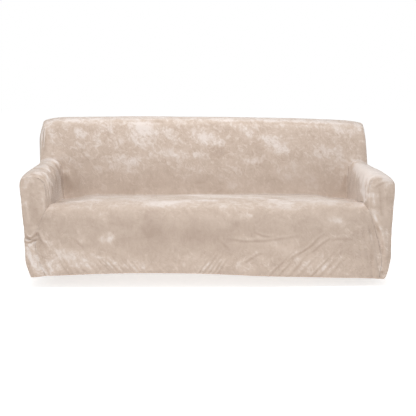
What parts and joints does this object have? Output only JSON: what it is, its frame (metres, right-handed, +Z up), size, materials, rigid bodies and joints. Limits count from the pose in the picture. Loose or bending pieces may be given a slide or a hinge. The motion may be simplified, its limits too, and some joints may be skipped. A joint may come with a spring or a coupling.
{
  "type": "sofa slipcover",
  "caption": "Stretch plush-velvet slipcover in the shape it takes on a three-seat sofa: hollow, open underneath, with panels for the seat and front, inside and outside back, arms and back sides.",
  "frame": {"origin": "the underside of the top of the cover's back, on its middle line, where the sofa's back carries it", "axes": "+X to the right of someone who faces the sofa, +Y from its front to its back, +Z up"},
  "size_m": [2.0799, 0.9196, 0.8573],
  "materials": {
    "plush_velvet": "beige crushed plush velvet with a soft sheen"
  },
  "bodies": {
    "root": {"seat_and_apron": "plush_velvet", "inside_back": "plush_velvet", "outside_back": "plush_velvet", "arm_left": "plush_velvet", "arm_right": "plush_velvet", "arm_front_left": "plush_velvet", "arm_front_right": "plush_velvet", "back_side_left": "plush_velvet", "back_side_right": "plush_velvet"}
  },
  "joints": []
}
